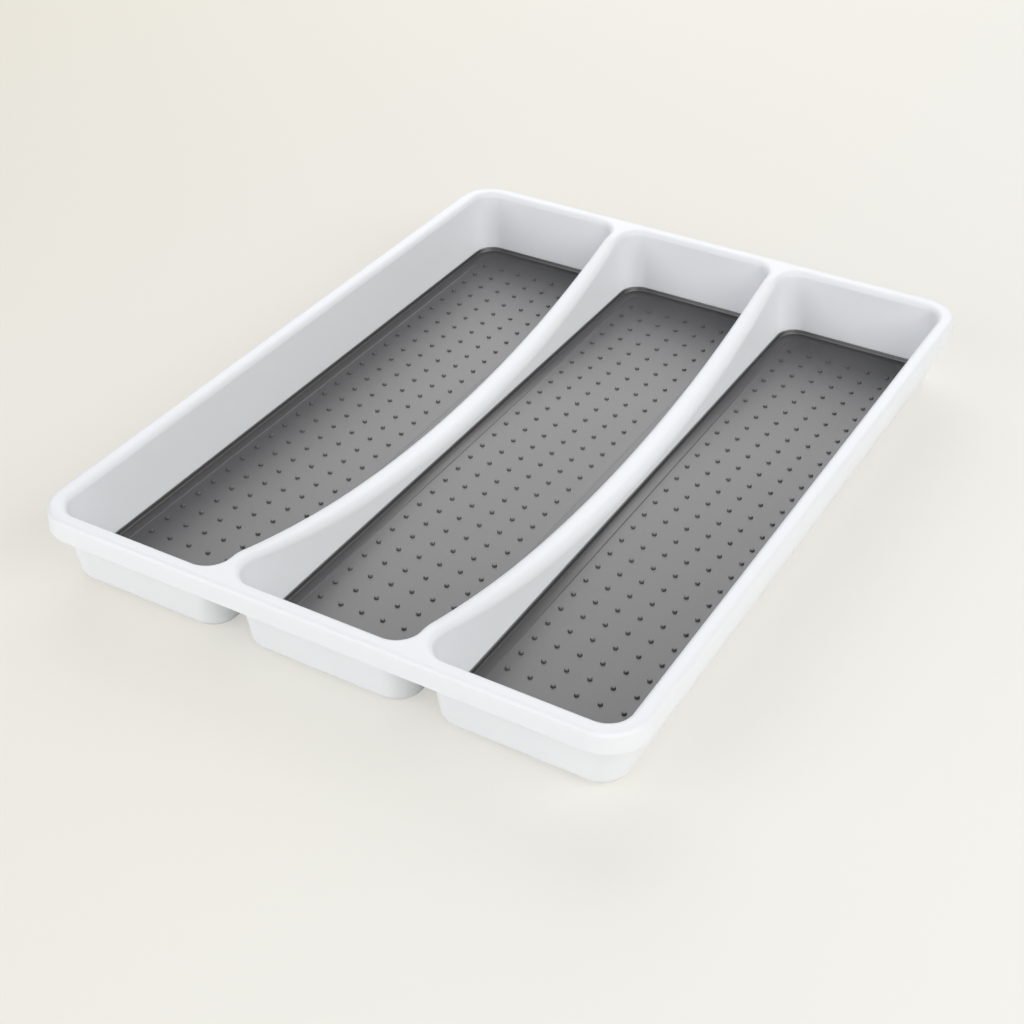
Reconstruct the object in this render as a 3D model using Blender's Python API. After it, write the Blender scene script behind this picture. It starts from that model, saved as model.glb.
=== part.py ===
"""A three-compartment drawer tray with lift-out grip liners and four pads under it.

Metres, +Z up. The origin is on the surface the tray rests on, under the middle of the tray.
The front is towards -Y.
"""

import math
from collections import namedtuple

import bmesh
import bpy
from mathutils import Vector

# Compartments, measured at the rim as if its edges were sharp
inner_length = 0.388
compartment_width = 0.0935
divider_width = 0.0081
compartment_corner = 0.0115
wall_slope = 0.09  # how far a wall leans into its compartment per metre of depth
floor_depth = 0.039
cove_radius = 0.0045

# Rim and skirt
shell_thickness = 0.002
rim_width = 0.0086
rim_edge_radius = 0.0035
outer_edge_extra_radius = 0.0003  # over the shell's thickness
skirt_depth = 0.0109
skirt_slope = 0.02

# Dividers, whose tops dip in one long arc
crest_height = 0.011  # of the lowest place along the arc, above the floor
saddle_margin = 0.004  # from a compartment's corner to where the dip begins
saddle_blend = 0.0012
crest_radius = 0.0052

# Liners
liner_gap = 0.0003
liner_thickness = 0.0019
lip_rise = 0.0004  # above the cove's top
lip_width = 0.0009
lip_slope_width = 0.0036
margin_width = 0.0022  # between the lip's slope and the step down to the field
step_height = 0.0003
step_width = 0.0004

# Nubs on a liner's field
nub_columns = 6
nub_rows = 29
nub_side_margin = 0.0067  # from the field's edge to the outermost nubs
nub_end_margin = 0.0127
nub_radius = 0.0014
nub_height = 0.0009

# Pads under the tray
pad_radius = 0.008
pad_proud = 0.0012
pad_seat_depth = 0.0006
pad_gap = 0.0003
pad_edge_radius = 0.0005
pad_inset = 0.024  # pad centre from the inner face of a wall, at the rim

# How finely curves are divided
corner_steps = 5
edge_steps = 3
cove_steps = 3
saddle_steps = 18
saddle_start_shares = (-2, 2, 5)  # more places near each end of the arc, in blends from that end
outer_corner_steps = 8
nub_steps = 6
pad_steps = 20
smooth_below = math.radians(35)

# Colours and roughness
plastic_colour = (0.80, 0.82, 0.85)
plastic_roughness = 0.42
grip_colour = (0.13, 0.13, 0.135)
grip_roughness = 0.62
pad_colour = (0.05, 0.05, 0.055)
pad_roughness = 0.8

compartments = ("left", "middle", "right")

floor_inside = pad_proud + shell_thickness
rim_height = floor_inside + floor_depth
compartment_pitch = compartment_width + divider_width
half_inner_width = compartment_pitch + compartment_width / 2
outer_edge_radius = shell_thickness + outer_edge_extra_radius
half_outer_width = half_inner_width + rim_width
half_outer_length = inner_length / 2 + rim_width
outer_corner = compartment_corner + rim_width
straight_reach = inner_length / 2 - compartment_corner
saddle_half_length = straight_reach - saddle_margin
saddle_depth = floor_depth - crest_height
wall_lean = math.atan(wall_slope)
cove_height = cove_radius * (1 - math.sin(wall_lean))
skirt_lean = math.atan(skirt_slope)
z_axis = Vector((0, 0, 1))

# A place on an outline: its point, the outward direction there, the signs of its corner
# (0 along a side) and whether a divider's dipping top runs past it
Place = namedtuple("Place", "point away corner dips")


def clear_scene():
    for obj in list(bpy.data.objects):
        bpy.data.objects.remove(obj, do_unlink=True)


def make_material(name, colour, roughness):
    material = bpy.data.materials.new(name)
    material.use_nodes = True
    shader = material.node_tree.nodes["Principled BSDF"]
    shader.inputs["Base Color"].default_value = (*colour, 1)
    shader.inputs["Roughness"].default_value = roughness
    shader.inputs["Metallic"].default_value = 0
    material.diffuse_color = (*colour, 1)
    return material


def saddle_dip(y):
    """How far a divider's top lies below the rim at this place along it."""
    radius = (saddle_half_length**2 + saddle_depth**2) / (2 * saddle_depth)
    depth = saddle_depth - radius + math.sqrt(radius**2 - y**2)
    near = max(saddle_blend - abs(depth), 0) / saddle_blend
    return max(depth, 0) + near**2 * saddle_blend / 4


def saddle_stations(reach):
    """Places along a divider, front to back, closer together where the dip begins."""
    dipped = [saddle_half_length * (2 * i / saddle_steps - 1) for i in range(saddle_steps + 1)]
    starts = [saddle_half_length - saddle_blend * share for share in saddle_start_shares]
    stations = dipped + starts + [-y for y in starts]
    return sorted(y for y in stations if abs(y) < reach)


def corner_places(half_x, half_y, radius, steps, turn, signs):
    """The places round one corner, counter-clockwise."""
    centre = Vector((signs[0] * (half_x - radius), signs[1] * (half_y - radius), 0))
    places = []
    for i in range(steps + 1):
        angle = math.pi / 2 * (turn - 1 + i / steps)
        away = Vector((math.cos(angle), math.sin(angle), 0))
        places.append(Place(centre + radius * away, away, signs, False))
    return places


def rounded_outline(half_x, half_y, radius, steps, dipping_sides=()):
    """A rounded rectangle seen from above, counter-clockwise from its right front corner.

    A side that a divider's dipping top runs along, -1 on the left or 1 on the right, gets
    places all along it. Returns the places and, for each such side, the numbers of the
    places from corner to corner.
    """
    outline = []
    runs = {}
    for turn, signs in enumerate(((1, -1), (1, 1), (-1, 1), (-1, -1))):
        outline += corner_places(half_x, half_y, radius, steps, turn, signs)
        side = signs[0]
        if side == signs[1] or side not in dipping_sides:
            continue
        first = len(outline) - 1
        outline[first] = outline[first]._replace(dips=True)
        for y in saddle_stations(half_y - radius):
            outline.append(Place(Vector((side * half_x, side * y, 0)), Vector((side, 0, 0)), (0, 0), True))
        runs[side] = range(first, len(outline) + 1)
    return outline, runs


def compartment_outline(dipping_sides=()):
    return rounded_outline(
        compartment_width / 2, inner_length / 2, compartment_corner, corner_steps, dipping_sides
    )


def compartment_x(index):
    return (index - 1) * compartment_pitch


def moved_in(place, inward):
    """A place's point moved towards the middle; corners keep their radius on the way in."""
    if inward <= 0 or place.corner == (0, 0):
        return place.point - place.away * inward
    return place.point - Vector((place.corner[0] * inward, place.corner[1] * inward, 0))


def drawn_together(place, inward):
    """The same lower down, where the places along a side close up as the side gets shorter."""
    point = moved_in(place, inward)
    if place.corner == (0, 0):
        point.y *= 1 - inward / straight_reach
    return point


def skin_point(point, away, up, angle, thickness):
    """A place on the upper skin, or on the lower skin one thickness behind it."""
    behind = math.sin(angle) * away - math.cos(angle) * z_axis
    return point + z_axis * (rim_height + up) + thickness * behind


def rim_edge_point(place, turn, thickness):
    """A point part of the way round the rim's inner edge, which is rounder along a crest."""
    dip = saddle_dip(place.point.y) if place.dips else 0
    radius = min(crest_radius, rim_edge_radius + wall_slope * dip, floor_depth - dip - cove_height)
    angle = (math.pi / 2 - wall_lean) * turn
    start = wall_slope * dip - radius * (1 - math.sin(wall_lean)) / math.cos(wall_lean)
    point = moved_in(place, start + radius * math.sin(angle))
    return skin_point(point, place.away, radius * (math.cos(angle) - 1) - dip, angle, thickness)


def cove_centre():
    """How far in from the wall's top the cove at its foot is centred."""
    return (cove_radius + math.sin(wall_lean) * (floor_depth - cove_radius)) / math.cos(wall_lean)


def cove_point(place, turn, thickness):
    """A point part of the way round the cove between wall and floor."""
    angle = (math.pi / 2 - wall_lean) * (1 - turn)
    inward = cove_centre() - cove_radius * math.sin(angle)
    up = cove_radius * (1 - math.cos(angle)) - floor_depth
    return skin_point(drawn_together(place, inward), place.away, up, angle, thickness)


def skirt_point(place, outward, up, angle, thickness):
    point = place.point + place.away * outward + z_axis * (rim_height + up)
    return point - thickness * (math.sin(angle) * place.away + math.cos(angle) * z_axis)


def outer_edge_point(place, turn, thickness):
    """A point part of the way round the rim's outer edge, above the leaning skirt."""
    full = math.pi / 2 - skirt_lean
    straight = skirt_depth - outer_edge_radius * (1 - math.cos(full))
    start = -straight * skirt_slope - outer_edge_radius * math.sin(full)
    outward = start + outer_edge_radius * math.sin(full * turn)
    up = outer_edge_radius * (math.cos(full * turn) - 1)
    return skirt_point(place, outward, up, full * turn, thickness)


def add_ring(bm, points, shift_x=0):
    return [bm.verts.new(point + Vector((shift_x, 0, 0))) for point in points]


def add_band(bm, first, second):
    count = len(first)
    for i in range(count):
        j = (i + 1) % count
        bm.faces.new((first[i], first[j], second[j], second[i]))


def add_bands(bm, rings):
    for first, second in zip(rings, rings[1:]):
        add_band(bm, first, second)


def add_compartment(bm, index, thickness):
    """One skin of a compartment, from the land round it down to its floor.

    Returns its top edge beside each divider, front to back, by side.
    """
    dipping_sides = [side for side in (-1, 1) if 0 <= index + side < len(compartments)]
    outline, runs = compartment_outline(dipping_sides)
    rings = []
    for i in range(edge_steps + 1):
        points = [rim_edge_point(place, i / edge_steps, thickness) for place in outline]
        rings.append(add_ring(bm, points, compartment_x(index)))
    for i in range(cove_steps + 1):
        points = [cove_point(place, i / cove_steps, thickness) for place in outline]
        rings.append(add_ring(bm, points, compartment_x(index)))
    add_bands(bm, rings)
    bm.faces.new(rings[-1])
    return {side: [rings[0][i] for i in run][::side] for side, run in runs.items()}


def add_crest(bm, near, far):
    """The strip along a divider's top, between the edges of its two compartments."""
    for i in range(len(near) - 1):
        bm.faces.new((near[i], far[i], far[i + 1], near[i + 1]))


def add_skirt(bm, thickness):
    """One skin of the outer edge and the skirt below it. Returns the ring at the skirt's foot."""
    outline, _ = rounded_outline(half_outer_width, half_outer_length, outer_corner, outer_corner_steps)
    rings = []
    for i in range(edge_steps + 1):
        rings.append(add_ring(bm, [outer_edge_point(place, i / edge_steps, thickness) for place in outline]))
    foot = [place.point - place.away * thickness + z_axis * (rim_height - skirt_depth) for place in outline]
    rings.append(add_ring(bm, foot))
    add_bands(bm, rings)
    return rings[-1]


def fill_land(bm):
    """The flat land of the rim, which closes every open edge but the skirt's foot."""
    above = rim_height - skirt_depth / 2
    edges = [edge for edge in bm.edges if edge.is_boundary and edge.verts[0].co.z > above]
    bmesh.ops.triangle_fill(bm, use_beauty=True, use_dissolve=False, edges=edges)


def add_skin(bm, thickness):
    tops = [add_compartment(bm, index, thickness) for index in range(len(compartments))]
    for left, right in zip(tops, tops[1:]):
        add_crest(bm, left[1], right[-1])
    foot = add_skirt(bm, thickness)
    fill_land(bm)
    return foot


def new_object(bm, name):
    mesh = bpy.data.meshes.new(name)
    bm.to_mesh(mesh)
    bm.free()
    obj = bpy.data.objects.new(name, mesh)
    bpy.context.scene.collection.objects.link(obj)
    return obj


def finish(bm, name, material):
    bmesh.ops.triangulate(bm, faces=list(bm.faces))
    bmesh.ops.recalc_face_normals(bm, faces=list(bm.faces))
    obj = new_object(bm, name)
    obj.data.materials.append(material)
    obj.data.shade_smooth()
    obj.data.set_sharp_from_angle(angle=smooth_below)
    return obj


def pad_places():
    """Name and place of each pad, under the corners of the outer compartments."""
    reach_x = half_inner_width - pad_inset
    reach_y = inner_length / 2 - pad_inset
    places = []
    for end, y in (("front", -reach_y), ("back", reach_y)):
        for side, x in (("left", -reach_x), ("right", reach_x)):
            places.append((f"pad_{end}_{side}", x, y))
    return places


def cut_pad_seats(tray):
    """A shallow round seat for each pad, under the floors."""
    bm = bmesh.new()
    for _, x, y in pad_places():
        made = bmesh.ops.create_cone(
            bm,
            cap_ends=True,
            segments=pad_steps,
            radius1=pad_radius + pad_gap,
            radius2=pad_radius + pad_gap,
            depth=2 * pad_seat_depth,
        )
        bmesh.ops.translate(bm, verts=made["verts"], vec=(x, y, pad_proud))
    cutter = new_object(bm, "pad_seats")
    cutter.hide_render = True
    cutter.display_type = "WIRE"
    modifier = tray.modifiers.new("seats", "BOOLEAN")
    modifier.operation = "DIFFERENCE"
    modifier.solver = "EXACT"
    modifier.object = cutter


def make_tray(material):
    """The moulded tray: an upper skin, a lower one behind it and the skirt's foot between them."""
    bm = bmesh.new()
    upper_foot = add_skin(bm, 0)
    lower_foot = add_skin(bm, shell_thickness)
    add_band(bm, upper_foot, lower_foot)
    tray = finish(bm, "tray", material)
    cut_pad_seats(tray)


def liner_profile():
    """Inward and up for each ring of a liner, from its underside, over its lip, to its field."""
    near = cove_radius - liner_gap
    rings = []
    for i in range(cove_steps + 1):
        angle = (math.pi / 2 - wall_lean) * i / cove_steps
        up = cove_radius - floor_depth - near * math.cos(angle)
        rings.append((cove_centre() - near * math.sin(angle), up))
    lip_inward = rings[-1][0] - wall_slope * lip_rise
    lip_up = rings[-1][1] + lip_rise
    rings.append((lip_inward, lip_up))
    field_up = liner_gap + liner_thickness - floor_depth
    margin_up = field_up + step_height
    for i in range(cove_steps + 1):
        share = i / cove_steps
        inward = lip_inward + lip_width + lip_slope_width * share
        rings.append((inward, margin_up + (lip_up - margin_up) * (1 - share) ** 2))
    step_inward = rings[-1][0] + margin_width
    rings.append((step_inward, margin_up))
    rings.append((step_inward + step_width, field_up))
    return rings


def spread(reach, count):
    """Places from -reach to reach, evenly spaced."""
    return [reach * (2 * i / (count - 1) - 1) for i in range(count)]


def add_nub(bm, centre):
    """A low pointed nub, open below. Returns its ring at the foot."""
    turns = [2 * math.pi * i / nub_steps for i in range(nub_steps)]
    ring = add_ring(bm, [centre + nub_radius * Vector((math.cos(t), math.sin(t), 0)) for t in turns])
    tip = bm.verts.new(centre + nub_height * z_axis)
    for i in range(nub_steps):
        bm.faces.new((ring[i], ring[(i + 1) % nub_steps], tip))
    return ring


def add_field(bm, edge, inward, height):
    """The flat field inside this ring, with its nubs."""
    reach_x = compartment_width / 2 - inward - nub_side_margin
    reach_y = inner_length / 2 - inward - nub_end_margin
    rings = [edge]
    for x in spread(reach_x, nub_columns):
        for y in spread(reach_y, nub_rows):
            rings.append(add_nub(bm, Vector((x, y, height))))
    edges = [bm.edges.get((ring[i - 1], ring[i])) for ring in rings for i in range(len(ring))]
    bmesh.ops.triangle_fill(bm, use_beauty=True, use_dissolve=False, edges=edges)


def make_liner(index, material):
    outline, _ = compartment_outline()
    underside = floor_inside + liner_gap
    profile = liner_profile()
    bm = bmesh.new()
    rings = []
    for inward, up in profile:
        points = [moved_in(place, inward) + z_axis * (rim_height + up - underside) for place in outline]
        rings.append(add_ring(bm, points))
    add_bands(bm, rings)
    bm.faces.new(rings[0])
    add_field(bm, rings[-1], profile[-1][0], liner_thickness)
    liner = finish(bm, "liner_" + compartments[index], material)
    liner.location = (compartment_x(index), 0, underside)


def pad_profile():
    """Radius and height of each ring of a pad, from its underside up."""
    rings = []
    for i in range(edge_steps + 1):
        angle = math.pi / 2 * i / edge_steps
        radius = pad_radius - pad_edge_radius * (1 - math.sin(angle))
        rings.append((radius, pad_edge_radius * (1 - math.cos(angle))))
    rings.append((pad_radius, pad_proud + pad_seat_depth - pad_gap))
    return rings


def make_pad(name, x, y, material):
    turns = [2 * math.pi * i / pad_steps for i in range(pad_steps)]
    bm = bmesh.new()
    rings = []
    for radius, height in pad_profile():
        points = [Vector((radius * math.cos(turn), radius * math.sin(turn), height)) for turn in turns]
        rings.append(add_ring(bm, points))
    add_bands(bm, rings)
    bm.faces.new(rings[0])
    bm.faces.new(rings[-1])
    pad = finish(bm, name, material)
    pad.location = (x, y, 0)


def main():
    clear_scene()
    make_tray(make_material("white_plastic", plastic_colour, plastic_roughness))
    grip = make_material("grey_grip_rubber", grip_colour, grip_roughness)
    for index in range(len(compartments)):
        make_liner(index, grip)
    dark = make_material("dark_pad_rubber", pad_colour, pad_roughness)
    for name, x, y in pad_places():
        make_pad(name, x, y, dark)


main()
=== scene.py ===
# Drawer organizer: a white moulded tray with three soft grip liners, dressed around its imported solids.
import math

import bmesh
import bpy
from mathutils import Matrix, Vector


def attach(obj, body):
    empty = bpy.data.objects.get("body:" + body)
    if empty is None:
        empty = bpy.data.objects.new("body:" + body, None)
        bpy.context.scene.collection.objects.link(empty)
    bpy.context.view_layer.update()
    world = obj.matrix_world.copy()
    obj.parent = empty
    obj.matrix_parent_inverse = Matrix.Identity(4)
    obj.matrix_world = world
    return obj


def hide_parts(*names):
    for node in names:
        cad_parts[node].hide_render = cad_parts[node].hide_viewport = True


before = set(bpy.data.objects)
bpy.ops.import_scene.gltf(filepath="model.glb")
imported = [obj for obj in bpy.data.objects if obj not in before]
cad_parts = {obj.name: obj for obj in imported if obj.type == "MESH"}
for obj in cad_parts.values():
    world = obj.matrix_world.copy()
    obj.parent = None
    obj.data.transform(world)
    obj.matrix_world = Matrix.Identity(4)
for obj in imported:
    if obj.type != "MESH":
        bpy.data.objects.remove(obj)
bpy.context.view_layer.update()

scene = bpy.context.scene
scene.view_settings.view_transform = "Standard"

# how near two places have to be to count as the same one
tight = 1e-6
loose = 1e-5


# Small tools for working on one piece at a time

def clearSelection():
    bpy.ops.object.select_all(action="DESELECT")


def startEditing(piece, kind):
    clearSelection()
    piece.select_set(True)
    bpy.context.view_layer.objects.active = piece
    bpy.ops.object.mode_set(mode="EDIT")
    bpy.ops.mesh.select_mode(type=kind)


def stopEditing():
    bpy.ops.object.mode_set(mode="OBJECT")


def pickVerts(piece, wanted):
    mesh = bmesh.from_edit_mesh(piece.data)
    bpy.ops.mesh.select_mode(type="VERT")
    bpy.ops.mesh.select_all(action="DESELECT")
    for vert in mesh.verts:
        if wanted(vert.co):
            vert.select_set(True)
    mesh.select_flush_mode()
    bmesh.update_edit_mesh(piece.data)


def pickEdges(piece, wanted):
    mesh = bmesh.from_edit_mesh(piece.data)
    bpy.ops.mesh.select_mode(type="EDGE")
    bpy.ops.mesh.select_all(action="DESELECT")
    for edge in mesh.edges:
        if wanted(edge):
            edge.select_set(True)
    bmesh.update_edit_mesh(piece.data)


def pickFaces(piece, wanted):
    mesh = bmesh.from_edit_mesh(piece.data)
    bpy.ops.mesh.select_mode(type="FACE")
    bpy.ops.mesh.select_all(action="DESELECT")
    for face in mesh.faces:
        if wanted(face):
            face.select_set(True)
    bmesh.update_edit_mesh(piece.data)


def slide(x=0, y=0, z=0):
    bpy.ops.transform.translate(value=(x, y, z))


def pullUp(z):
    bpy.ops.mesh.extrude_region_move(TRANSFORM_OT_translate={"value": (0, 0, z)})


def addRoundedPlate(name, width, length, height, corner, steps):
    # one flat face with rounded corners, lying at this height and left open for editing
    clearSelection()
    bpy.ops.mesh.primitive_plane_add(size=1, location=(0, 0, height))
    piece = bpy.context.object
    piece.name = piece.data.name = name
    piece.scale = (width, length, 1)
    bpy.ops.object.transform_apply(location=True, rotation=True, scale=True)
    startEditing(piece, "VERT")
    bpy.ops.mesh.select_all(action="SELECT")
    bpy.ops.mesh.bevel(offset=corner, segments=steps, profile=0.5, affect="VERTICES", clamp_overlap=False)
    return piece


def drawIn(piece, amount, height):
    # everything at this height moves towards the middle, and the corners keep their radius
    for side in (-1, 1):
        pickVerts(piece, lambda co: abs(co.z - height) < tight and co.x * side > 0)
        slide(x=-side * amount)
        pickVerts(piece, lambda co: abs(co.z - height) < tight and co.y * side > 0)
        slide(y=-side * amount)


def applyModifier(piece, kind, **settings):
    clearSelection()
    piece.select_set(True)
    bpy.context.view_layer.objects.active = piece
    modifier = piece.modifiers.new(kind.lower(), kind)
    for key, value in settings.items():
        setattr(modifier, key, value)
    bpy.ops.object.modifier_apply(modifier=modifier.name)


def arrayAlong(piece, axis, count, pitch):
    offset = [0, 0, 0]
    offset[axis] = pitch
    applyModifier(piece, "ARRAY", count=count, use_relative_offset=False,
                  use_constant_offset=True, constant_offset_displace=offset)


def joinInto(piece, others):
    clearSelection()
    for other in others:
        other.select_set(True)
    piece.select_set(True)
    bpy.context.view_layer.objects.active = piece
    bpy.ops.object.join()


def copyPiece(piece, name, x=0, y=0):
    twin = piece.copy()
    twin.data = piece.data.copy()
    twin.name = twin.data.name = name
    scene.collection.objects.link(twin)
    clearSelection()
    twin.select_set(True)
    bpy.context.view_layer.objects.active = twin
    twin.location = (x, y, 0)
    bpy.ops.object.transform_apply(location=True, rotation=True, scale=True)
    return twin


def finishShading(piece, angle):
    clearSelection()
    piece.select_set(True)
    bpy.context.view_layer.objects.active = piece
    bpy.ops.object.shade_smooth_by_angle(angle=math.radians(angle))
    applyModifier(piece, "WEIGHTED_NORMAL", keep_sharp=True, weight=50)


# The tray

trayForm = {
    "rimHeight": 0.0422,
    "compartment": (0.0935, 0.388),  # at the rim, as if its edge were sharp
    "pitch": 0.1016,
    "corner": 0.0115,
    "depth": 0.039,
    "draft": 0.09,
    "cove": 0.0045,
    "edge": 0.0035,
    "crestEdge": 0.0052,
    "rim": 0.0086,
    "outerEdge": 0.0023,
    "skirt": 0.0109,
    "skirtFlare": 0.00022,
    "wall": 0.002,
    "dipReach": 0.1785,
    "dip": 0.028,
    "dipBlend": 0.0012,
    "dipEndReach": 0.0036,
    "dipSteps": 22,
    "dipEndSteps": 4,
    "cornerSteps": 12,
    "outerCornerSteps": 16,
    "roundSteps": 6,
    "outerEdgeSteps": 5,
    "outerEdgeShare": 0.98,
    "crestPick": 0.001,  # a rounded edge is picked from this far inside the wall's top
    "cornerPick": 0.0002,  # places this near the outline of a round corner count as on it
    "weld": 0.00002,
    "smoothBelow": 35,
}
rimHeight = trayForm["rimHeight"]
floorHeight = rimHeight - trayForm["depth"]
flange = (trayForm["pitch"] - trayForm["compartment"][0]) / 2
halfWidth, halfLength = (size / 2 for size in trayForm["compartment"])
lean = math.atan(trayForm["draft"])


def crestDip(y):
    # how far below the rim a divider's top runs at this place along it
    reach, dip, blend = trayForm["dipReach"], trayForm["dip"], trayForm["dipBlend"]
    radius = (reach**2 + dip**2) / (2 * dip)
    down = dip - radius + math.sqrt(radius**2 - y**2)
    near = max(blend - abs(down), 0) / blend
    return max(down, 0) + near**2 * blend / 4


def dipPlaces():
    # places along a divider, closer together where the dip begins
    reach, steps, endSteps = trayForm["dipReach"], trayForm["dipSteps"], trayForm["dipEndSteps"]
    places = [reach * (i / steps - 1) for i in range(1, 2 * steps)]
    for i in range(2 * endSteps + 1):
        near = reach + trayForm["dipEndReach"] * (i / endSteps - 1)
        places += [near, -near]
    return sorted(places)


def arcOffset(radius):
    # how far a bevel has to reach for a round of this radius between rim and wall
    return radius * math.tan((math.pi / 2 - lean) / 2)


def lowerCrest(pan, side, y):
    # the rounded edge beside a divider slides down the wall at this place, and grows as it goes
    dip = crestDip(y)
    edge = trayForm["edge"]
    radius = min(trayForm["crestEdge"], edge + trayForm["draft"] * dip)

    def isHere(co):
        beside = co.x * side > halfWidth - trayForm["crestPick"]
        return abs(co.y - y) < loose and co.z > rimHeight - edge and beside

    def isOnPanEdge(co):
        return abs(co.x) > halfWidth + flange - loose

    pickVerts(pan, lambda co: isHere(co) and not isOnPanEdge(co))
    corner = Vector((side * halfWidth, y, rimHeight))
    growth = radius / edge
    bpy.ops.transform.resize(value=(growth, 1, growth), center_override=corner)
    slide(x=-side * trayForm["draft"] * dip, z=-dip)
    pickVerts(pan, lambda co: isHere(co) and isOnPanEdge(co))
    slide(z=-dip)


def roundOff(radius):
    # the picked edges, between a wall and a level face
    bpy.ops.mesh.bevel(
        offset=arcOffset(radius), segments=trayForm["roundSteps"], profile=0.5, clamp_overlap=False)


def isAtRim(edge):
    return all(vert.co.z > rimHeight - tight for vert in edge.verts)


def isUpright(face):
    return abs(face.normal.z) < 0.5


def makePan(index):
    # one compartment with a strip of the rim round it
    width, length = (size + 2 * flange for size in trayForm["compartment"])
    pan = addRoundedPlate(
        "pan", width, length, rimHeight, trayForm["corner"] + flange, trayForm["cornerSteps"])
    bpy.ops.mesh.select_mode(type="FACE")
    bpy.ops.mesh.select_all(action="SELECT")
    bpy.ops.mesh.inset(thickness=flange, use_even_offset=True)
    pullUp(-trayForm["depth"])
    drawIn(pan, trayForm["draft"] * trayForm["depth"], floorHeight)

    def isRimEdge(edge):
        return isAtRim(edge) and not edge.is_boundary and all(
            abs(vert.co.x) < halfWidth + loose and abs(vert.co.y) < halfLength + loose
            for vert in edge.verts
        ) and len([face for face in edge.link_faces if isUpright(face)]) == 1

    pickEdges(pan, isRimEdge)
    roundOff(trayForm["edge"])
    pickEdges(pan, lambda edge: max(vert.co.z for vert in edge.verts) < floorHeight + tight)
    roundOff(trayForm["cove"])
    places = dipPlaces()
    for y in places:
        bpy.ops.mesh.select_all(action="SELECT")
        bpy.ops.mesh.bisect(plane_co=(0, y, 0), plane_no=(0, 1, 0))
    for side in (-1, 1):
        if 0 <= index + side <= 2:
            for y in places:
                lowerCrest(pan, side, y)
    stopEditing()
    pan.location.x = (index - 1) * trayForm["pitch"]
    bpy.ops.object.transform_apply(location=True, rotation=True, scale=True)
    return pan


def makeRimFrame():
    # the outer part of the rim, with its rounded edge and the skirt below it
    rim, flare, edge = trayForm["rim"], trayForm["skirtFlare"], trayForm["outerEdge"]
    reach = (trayForm["pitch"] + halfWidth + rim - flare, halfLength + rim - flare)
    corner = trayForm["corner"] + rim
    plate = addRoundedPlate(
        "rimFrame", 2 * reach[0], 2 * reach[1], rimHeight, corner, trayForm["outerCornerSteps"])
    bpy.ops.mesh.select_mode(type="FACE")
    bpy.ops.mesh.select_all(action="SELECT")
    bpy.ops.mesh.inset(thickness=(rim - flange + edge) / 2, use_even_offset=True)
    bpy.ops.mesh.delete(type="FACE")

    def isOutside(co):
        x, y = (abs(place) - far for place, far in zip(co, reach))
        onCorner = math.hypot(x + corner, y + corner) > corner - trayForm["cornerPick"]
        return x > -loose or y > -loose or onCorner

    pickEdges(plate, lambda edge: edge.is_boundary and all(isOutside(vert.co) for vert in edge.verts))
    bpy.ops.mesh.extrude_region_move(TRANSFORM_OT_translate={"value": (0, 0, -trayForm["skirt"])})
    drawIn(plate, -flare, rimHeight - trayForm["skirt"])
    pickEdges(plate, lambda edge: len(edge.link_faces) == 2 and isAtRim(edge)
              and any(isUpright(face) for face in edge.link_faces))
    bpy.ops.mesh.bevel(
        offset=edge * trayForm["outerEdgeShare"], segments=trayForm["outerEdgeSteps"],
        profile=0.5, clamp_overlap=False)
    stopEditing()
    return plate


def makeTray():
    tray = makeRimFrame()
    tray.name = tray.data.name = "mouldedTray"
    joinInto(tray, [makePan(index) for index in range(3)])
    startEditing(tray, "VERT")
    bpy.ops.mesh.select_all(action="SELECT")
    bpy.ops.mesh.remove_doubles(threshold=trayForm["weld"])
    # the level land between the frame and the compartments
    pickEdges(tray, lambda edge: edge.is_boundary and all(
        vert.co.z > rimHeight - loose for vert in edge.verts))
    bpy.ops.mesh.fill(use_beauty=True)
    bpy.ops.mesh.select_all(action="SELECT")
    bpy.ops.mesh.normals_make_consistent(inside=False)
    mesh = bmesh.from_edit_mesh(tray.data)
    land = max(mesh.faces, key=lambda face: face.calc_center_median().z + face.calc_area())
    if land.normal.z < 0:
        bpy.ops.mesh.flip_normals()
    stopEditing()
    applyModifier(tray, "SOLIDIFY", thickness=trayForm["wall"], offset=-1, use_even_offset=True)
    cutPadSeats(tray)
    finishShading(tray, trayForm["smoothBelow"])
    print("tray:", len(tray.data.polygons), "faces")
    return tray


# The pads under the tray

padForm = {
    "radius": 0.008,
    "height": 0.0015,
    "edge": 0.0005,
    "inset": 0.024,
    "seatGap": 0.0003,
    "seatDepth": 0.0006,
    "sides": 48,
    "edgeSteps": 4,
    "smoothBelow": 35,
}
padReach = (trayForm["pitch"] + halfWidth - padForm["inset"], halfLength - padForm["inset"])
trayUnderside = floorHeight - trayForm["wall"]


def addDisc(radius, depth, middle):
    clearSelection()
    bpy.ops.mesh.primitive_cylinder_add(
        vertices=padForm["sides"], radius=radius, depth=depth, location=middle)
    bpy.ops.object.transform_apply(location=True, rotation=True, scale=True)
    return bpy.context.object


def cutPadSeats(tray):
    cutter = addDisc(padForm["radius"] + padForm["seatGap"], 2 * padForm["seatDepth"], (
        -padReach[0], -padReach[1], trayUnderside))
    for axis, reach in enumerate(padReach):
        arrayAlong(cutter, axis, 2, 2 * reach)
    applyModifier(tray, "BOOLEAN", operation="DIFFERENCE", solver="EXACT", object=cutter)
    bpy.data.objects.remove(cutter, do_unlink=True)


def makePad():
    height = padForm["height"]
    pad = addDisc(padForm["radius"], height, (0, 0, height / 2))
    startEditing(pad, "EDGE")
    pickEdges(pad, lambda edge: max(vert.co.z for vert in edge.verts) < tight)
    bpy.ops.mesh.bevel(offset=padForm["edge"], segments=padForm["edgeSteps"], profile=0.5)
    stopEditing()
    finishShading(pad, padForm["smoothBelow"])
    return pad


# The grip liners

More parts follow.
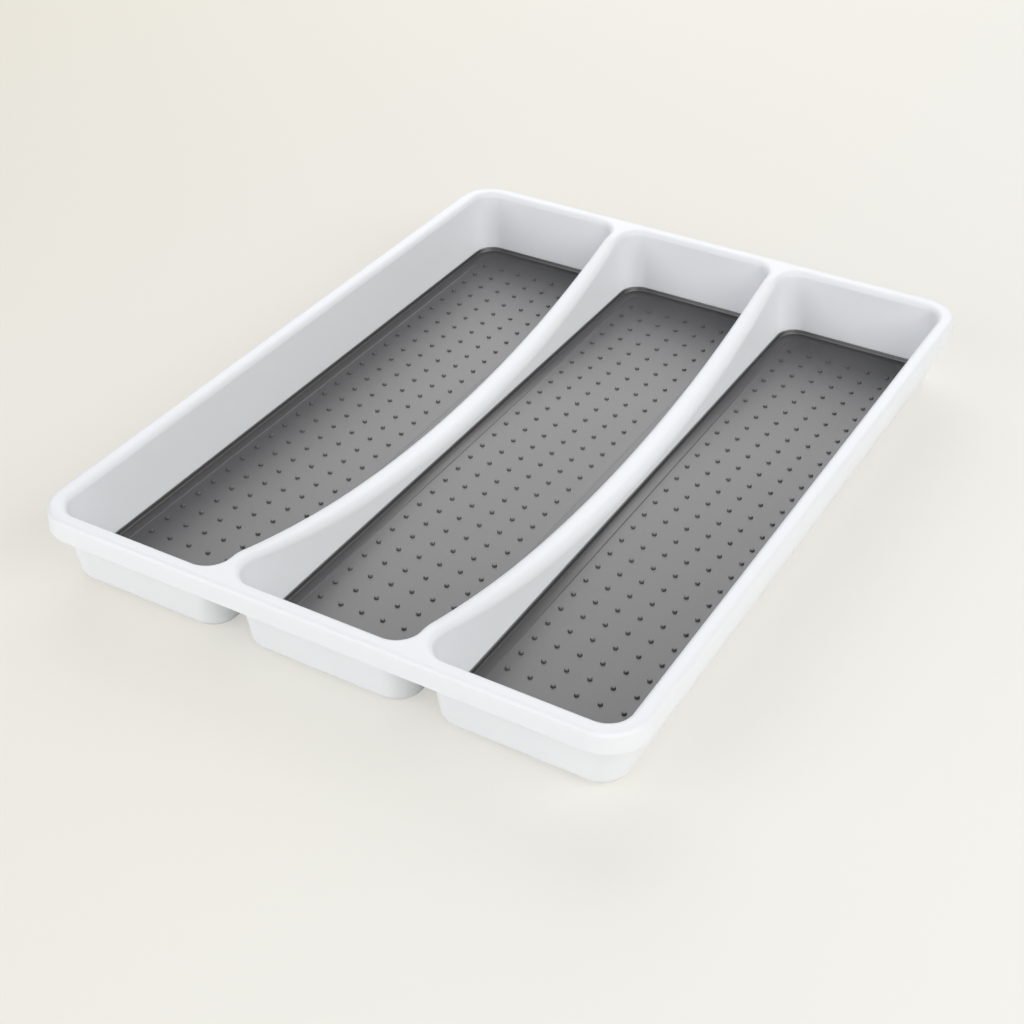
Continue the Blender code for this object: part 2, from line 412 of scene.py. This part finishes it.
linerForm = {
    "gap": 0.0003,
    "thickness": 0.0019,
    "lipRise": 0.0004,
    "lipWidth": 0.0007,
    "lipRound": 0.0002,
    "slope": 0.0010,
    "margin": 0.0050,
    "step": 0.0003,
    "stepWidth": 0.0004,
    "bead": 0.00012,
    "beadWidth": 0.0008,
    "beadFoot": 0.00002,
    "stepTop": 0.00005,
    "coveSteps": 6,
    "slopeSteps": 8,
    "smoothBelow": 50,
}
nubForm = {
    "columns": 6,
    "rows": 29,
    "pitch": (0.0117, 0.01225),
    "centre": (-0.0020, -0.0026),
    "radius": 0.00125,
    "sides": 12,
    "rings": ((0.00006, 0.00038), (0.00012, 0.00026), (0.00020, 0.00016), (0.00028, 0.00008)),
}


def linerProfile():
    # how far in from the wall's top and how far above the floor each ring lies
    cove, gap = trayForm["cove"], linerForm["gap"]
    centre = (cove + math.sin(lean) * (trayForm["depth"] - cove)) / math.cos(lean)
    near = cove - gap
    rings = []
    for i in range(linerForm["coveSteps"] + 1):
        turn = (math.pi / 2 - lean) * i / linerForm["coveSteps"]
        rings.append((centre - near * math.sin(turn), cove - near * math.cos(turn)))
    # the thin upturned edge
    lipIn = rings[-1][0] - trayForm["draft"] * linerForm["lipRise"]
    lipUp = rings[-1][1] + linerForm["lipRise"]
    soft = linerForm["lipRound"]
    rings += [(lipIn, lipUp - soft), (lipIn + 0.3 * soft, lipUp - 0.3 * soft), (lipIn + soft, lipUp)]
    lipEnd = lipIn + linerForm["lipWidth"]
    rings += [(lipEnd - soft, lipUp - 0.02 * soft), (lipEnd - 0.3 * soft, lipUp - 0.15 * soft)]
    # its inner face runs out into the margin
    fieldUp = gap + linerForm["thickness"]
    marginUp = fieldUp + linerForm["step"]
    for i in range(1, linerForm["slopeSteps"] + 1):
        share = i / linerForm["slopeSteps"]
        rings.append((lipEnd + linerForm["slope"] * share, marginUp + (lipUp - marginUp) * (1 - share) ** 2))
    # the margin ends in a fine ridge and a step down to the field
    bead, beadWidth = linerForm["bead"], linerForm["beadWidth"]
    beadIn = rings[-1][0] + linerForm["margin"] - beadWidth
    rings += [(beadIn, marginUp + linerForm["beadFoot"])]
    rings += [(beadIn + beadWidth * share, marginUp + bead * (1.1 - 0.1 * share)) for share in (0.3, 0.8)]
    rings += [(beadIn + beadWidth * 1.1, marginUp - linerForm["stepTop"])]
    rings += [(beadIn + beadWidth + linerForm["stepWidth"], fieldUp)]
    return rings


def makeNubs(height):
    # one soft nub at the front left corner of the grid, open below, and then the whole grid
    clearSelection()
    counts = (nubForm["columns"], nubForm["rows"])
    place = [middle - (count - 1) * pitch / 2
             for middle, count, pitch in zip(nubForm["centre"], counts, nubForm["pitch"])]
    bpy.ops.mesh.primitive_circle_add(
        vertices=nubForm["sides"], radius=nubForm["radius"], fill_type="NGON", location=(*place, height))
    nub = bpy.context.object
    bpy.ops.object.transform_apply(location=True, rotation=True, scale=True)
    startEditing(nub, "FACE")
    bpy.ops.mesh.select_all(action="SELECT")
    for inward, up in nubForm["rings"]:
        bpy.ops.mesh.inset(thickness=inward, depth=up)
    stopEditing()
    for axis, (count, pitch) in enumerate(zip(counts, nubForm["pitch"])):
        arrayAlong(nub, axis, count, pitch)
    return nub


def makeLiner():
    rings = linerProfile()
    inward, up = rings[0]
    liner = addRoundedPlate("gripLiner", 2 * (halfWidth - inward), 2 * (halfLength - inward),
                            floorHeight + up, trayForm["corner"], trayForm["cornerSteps"])

    def isLevel(face, up):
        return all(abs(vert.co.z - floorHeight - up) < tight for vert in face.verts)

    # the level face is drawn up and in from ring to ring, and the nubs and a flat fill take its place
    for before, after in zip(rings, rings[1:]):
        pickFaces(liner, lambda face: isLevel(face, before[1]))
        pullUp(after[1] - before[1])
        drawIn(liner, after[0] - before[0], floorHeight + after[1])
    pickFaces(liner, lambda face: isLevel(face, rings[-1][1]))
    bpy.ops.mesh.delete(type="ONLY_FACE")
    stopEditing()
    joinInto(liner, [makeNubs(floorHeight + rings[-1][1])])
    startEditing(liner, "EDGE")
    pickEdges(liner, lambda edge: edge.is_boundary)
    bpy.ops.mesh.fill(use_beauty=True)
    bpy.ops.mesh.select_all(action="SELECT")
    bpy.ops.mesh.normals_make_consistent(inside=False)
    stopEditing()
    finishShading(liner, linerForm["smoothBelow"])
    print("liner:", len(liner.data.polygons), "faces")
    return liner


# Materials

plasticLook = {
    "colour": (0.80, 0.82, 0.85, 1),
    "shade": (0.785, 0.806, 0.838, 1),
    "roughness": (0.40, 0.48),
    "specular": 0.25,
    "blotch": 9,
    "grain": 1600,
    "grainDepth": 0.00001,
}
gripLook = {
    "colour": (0.045, 0.044, 0.048, 1),
    "shade": (0.035, 0.034, 0.038, 1),
    "roughness": (0.40, 0.48),
    "specular": 0.8,
    "blotch": 30,
    "grain": 2200,
    "grainDepth": 0.00003,
    "lip": (0.0061, 0.0078),  # heights of the upturned edge, between which its shade and highlight are painted
    # painted shade on the upturned edge's inner face, and a painted highlight along its top
    "lipPaintedShadeAndHighlight": (
        (0, (0.012, 0.012, 0.012, 0)),
        (0.3, (0.012, 0.012, 0.012, 1)),
        (0.86, (0.012, 0.012, 0.012, 1)),
        (0.93, (0.13, 0.13, 0.13, 1)),
    ),
}
padLook = {
    "colour": (0.05, 0.05, 0.055, 1),
    "shade": (0.035, 0.035, 0.038, 1),
    "roughness": (0.7, 0.85),
    "specular": 0.4,
    "blotch": 60,
    "grain": 1800,
    "grainDepth": 0.00003,
}
bumpStrength = 0.6


def addNoise(nodes, links, place, scale, detail):
    noise = nodes.new("ShaderNodeTexNoise")
    noise.inputs["Scale"].default_value = scale
    noise.inputs["Detail"].default_value = detail
    links.new(place.outputs["Object"], noise.inputs["Vector"])
    return noise


def addPaintedLipShadeAndHighlight(nodes, links, place, tone, look):
    # the thin upturned edge, known by its height: painted shade inside, a painted highlight along its top
    split = nodes.new("ShaderNodeSeparateXYZ")
    links.new(place.outputs["Object"], split.inputs["Vector"])
    rise = nodes.new("ShaderNodeMapRange")
    rise.inputs["From Min"].default_value, rise.inputs["From Max"].default_value = look["lip"]
    links.new(split.outputs["Z"], rise.inputs["Value"])
    bands = nodes.new("ShaderNodeValToRGB")
    stops = bands.color_ramp.elements
    while len(stops) < len(look["lipPaintedShadeAndHighlight"]):
        stops.new(0.5)
    for stop, (position, colour) in zip(stops, look["lipPaintedShadeAndHighlight"]):
        stop.position, stop.color = position, colour
    links.new(rise.outputs["Result"], bands.inputs["Fac"])
    paintedLipTone = nodes.new("ShaderNodeMix")
    paintedLipTone.data_type = "RGBA"
    links.new(bands.outputs["Alpha"], paintedLipTone.inputs["Factor"])
    links.new(tone.outputs["Result"], paintedLipTone.inputs["A"])
    links.new(bands.outputs["Color"], paintedLipTone.inputs["B"])
    return paintedLipTone


def makeMaterial(name, look):
    # a moulded surface: slow changes of tone and gloss, and a fine grain
    material = bpy.data.materials.new(name)
    material.use_nodes = True
    nodes, links = material.node_tree.nodes, material.node_tree.links
    shader = nodes["Principled BSDF"]
    place = nodes.new("ShaderNodeTexCoord")
    slow = addNoise(nodes, links, place, scale=look["blotch"], detail=4)
    fine = addNoise(nodes, links, place, scale=look["grain"], detail=3)
    tone = nodes.new("ShaderNodeMix")
    tone.data_type = "RGBA"
    tone.inputs["A"].default_value = look["colour"]
    tone.inputs["B"].default_value = look["shade"]
    links.new(slow.outputs["Fac"], tone.inputs["Factor"])
    # the liner's upturned edge gets painted shade and a painted highlight
    if "lip" in look:
        tone = addPaintedLipShadeAndHighlight(nodes, links, place, tone, look)
    links.new(tone.outputs["Result"], shader.inputs["Base Color"])
    gloss = nodes.new("ShaderNodeMapRange")
    gloss.inputs["To Min"].default_value, gloss.inputs["To Max"].default_value = look["roughness"]
    links.new(fine.outputs["Fac"], gloss.inputs["Value"])
    links.new(gloss.outputs["Result"], shader.inputs["Roughness"])
    bump = nodes.new("ShaderNodeBump")
    bump.inputs["Strength"].default_value = bumpStrength
    bump.inputs["Distance"].default_value = look["grainDepth"]
    links.new(fine.outputs["Fac"], bump.inputs["Height"])
    links.new(bump.outputs["Normal"], shader.inputs["Normal"])
    shader.inputs["Specular IOR Level"].default_value = look["specular"]
    material.diffuse_color = look["colour"]
    return material


whitePlastic = makeMaterial("whiteMouldedPlastic", plasticLook)
gripRubber = makeMaterial("greySoftGrip", gripLook)
padRubber = makeMaterial("darkPadRubber", padLook)


# The pieces in their places

def dress(piece, material, slotName, body, *nodes):
    piece.data.materials.clear()
    piece.data.materials.append(material)
    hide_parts(*nodes)
    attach(piece, body)


tray = makeTray()
dress(tray, whitePlastic, "white_plastic", "tray", "tray")

liner = makeLiner()
for index, side in enumerate(("left", "middle", "right")):
    piece = copyPiece(liner, side + "GripLiner", x=(index - 1) * trayForm["pitch"])
    dress(piece, gripRubber, "grey_grip_rubber", side + "_liner", "liner_" + side)
bpy.data.objects.remove(liner, do_unlink=True)

pad = makePad()
for end, y in (("front", -padReach[1]), ("back", padReach[1])):
    for side, x in (("left", -padReach[0]), ("right", padReach[0])):
        piece = copyPiece(pad, end + side.capitalize() + "Pad", x=x, y=y)
        dress(piece, padRubber, "dark_pad_rubber", "tray", f"pad_{end}_{side}")
bpy.data.objects.remove(pad, do_unlink=True)
print("pieces placed")


# Floor, light and camera

stageLook = {
    "floorRight": (0.880, 0.875, 0.842, 1),
    "floorLeft": (0.782, 0.750, 0.672, 1),
    "fadeFrom": 0.42,
    "fadeLength": 1.2,
    "glow": 0.6,
    "roomLight": (0.1, 0.1, 0.1, 1),
    "backdrop": (0.80, 0.79, 0.76, 1),
    "floorSize": 30,
}


def showToViewer(nodes, links, amount):
    # 0 for the light on the object, and this amount for what the camera, gloss and glass see
    seen = nodes.new("ShaderNodeLightPath")
    total = seen.outputs["Is Camera Ray"]
    for kind in ("Is Glossy Ray", "Is Transmission Ray"):
        adding = nodes.new("ShaderNodeMath")
        adding.operation = "ADD"
        adding.use_clamp = True
        links.new(total, adding.inputs[0])
        links.new(seen.outputs[kind], adding.inputs[1])
        total = adding.outputs["Value"]
    share = nodes.new("ShaderNodeMath")
    share.operation = "MULTIPLY"
    share.inputs[1].default_value = amount
    links.new(total, share.inputs[0])
    return share.outputs["Value"]


def makeFloorMaterial():
    # pale, a little warmer and darker to the left; part of what the camera sees doesn't take shadow
    material = bpy.data.materials.new("paleFloor")
    material.use_nodes = True
    nodes, links = material.node_tree.nodes, material.node_tree.links
    matt = nodes["Principled BSDF"]
    matt.inputs["Roughness"].default_value = 0.9
    matt.inputs["Specular IOR Level"].default_value = 0.1
    place = nodes.new("ShaderNodeTexCoord")
    turn = nodes.new("ShaderNodeMapping")
    turn.vector_type = "TEXTURE"
    turn.inputs["Location"].default_value = (stageLook["fadeFrom"], 0, 0)
    turn.inputs["Rotation"].default_value = (0, 0, math.pi)
    turn.inputs["Scale"].default_value = (stageLook["fadeLength"], stageLook["fadeLength"], 1)
    fade = nodes.new("ShaderNodeTexGradient")
    tone = nodes.new("ShaderNodeMix")
    tone.data_type = "RGBA"
    tone.inputs["A"].default_value = stageLook["floorRight"]
    tone.inputs["B"].default_value = stageLook["floorLeft"]
    links.new(place.outputs["Object"], turn.inputs["Vector"])
    links.new(turn.outputs["Vector"], fade.inputs["Vector"])
    links.new(fade.outputs["Fac"], tone.inputs["Factor"])
    links.new(tone.outputs["Result"], matt.inputs["Base Color"])
    glow = nodes.new("ShaderNodeEmission")
    links.new(tone.outputs["Result"], glow.inputs["Color"])
    both = nodes.new("ShaderNodeMixShader")
    links.new(showToViewer(nodes, links, stageLook["glow"]), both.inputs["Fac"])
    links.new(matt.outputs["BSDF"], both.inputs[1])
    links.new(glow.outputs["Emission"], both.inputs[2])
    links.new(both.outputs["Shader"], nodes["Material Output"].inputs["Surface"])
    return material


clearSelection()
bpy.ops.mesh.primitive_plane_add(size=stageLook["floorSize"], location=(0, 0, 0))
floor = bpy.context.object
floor.name = "floor"
floor.data.materials.append(makeFloorMaterial())

world = bpy.data.worlds.new("softRoom")
scene.world = world
world.use_nodes = True
nodes, links = world.node_tree.nodes, world.node_tree.links
roomLight = nodes["Background"]
roomLight.inputs["Color"].default_value = stageLook["roomLight"]
backdrop = nodes.new("ShaderNodeBackground")
backdrop.inputs["Color"].default_value = stageLook["backdrop"]
room = nodes.new("ShaderNodeMixShader")
links.new(showToViewer(nodes, links, 1), room.inputs["Fac"])
links.new(roomLight.outputs["Background"], room.inputs[1])
links.new(backdrop.outputs["Background"], room.inputs[2])
links.new(room.outputs["Shader"], nodes["World Output"].inputs["Surface"])


softLights = {
    "windowLight": {
        "direction": (-0.4, 0.7, 0.59),
        "distance": 1.6,
        "size": (1.5, 1.2),
        "power": 18,
        "colour": (0.98, 0.985, 1.0),
    },
    "frontFill": {
        "direction": (-0.5, -1.0, 0.45),
        "distance": 2.0,
        "size": (2.2, 1.2),
        "power": 26,
        "colour": (1, 1, 1),
    },
    "rightFill": {
        "direction": (1.0, -0.2, 0.75),
        "distance": 2.0,
        "size": (2.0, 1.2),
        "power": 33,
        "colour": (1.0, 0.985, 0.955),
    },
}


def addSoftLight(name, direction, distance, size, power, colour):
    light = bpy.data.lights.new(name, "AREA")
    light.shape = "RECTANGLE"
    light.size, light.size_y = size
    light.energy = power
    light.color = colour
    lamp = bpy.data.objects.new(name, light)
    toLamp = Vector(direction).normalized()
    lamp.location = toLamp * distance
    lamp.rotation_euler = toLamp.to_track_quat("Z", "Y").to_euler()
    scene.collection.objects.link(lamp)


for name, form in softLights.items():
    addSoftLight(name, **form)

cameraView = {
    "azimuth": 30.3253,
    "elevation": 36.02,
    "distance": 0.8150,
    "lens": 61.77,
    "aim": (0.0379, -0.0900),
}
lens = bpy.data.cameras.new("photoCamera")
lens.lens = cameraView["lens"]
lens.sensor_width = 36
camera = bpy.data.objects.new("photoCamera", lens)
scene.collection.objects.link(camera)
azimuth, elevation = math.radians(cameraView["azimuth"]), math.radians(cameraView["elevation"])
back = Vector((
    math.sin(azimuth) * math.cos(elevation), -math.cos(azimuth) * math.cos(elevation), math.sin(elevation)))
camera.location = Vector((*cameraView["aim"], rimHeight)) + back * cameraView["distance"]
camera.rotation_euler = back.to_track_quat("Z", "Y").to_euler()
scene.camera = camera
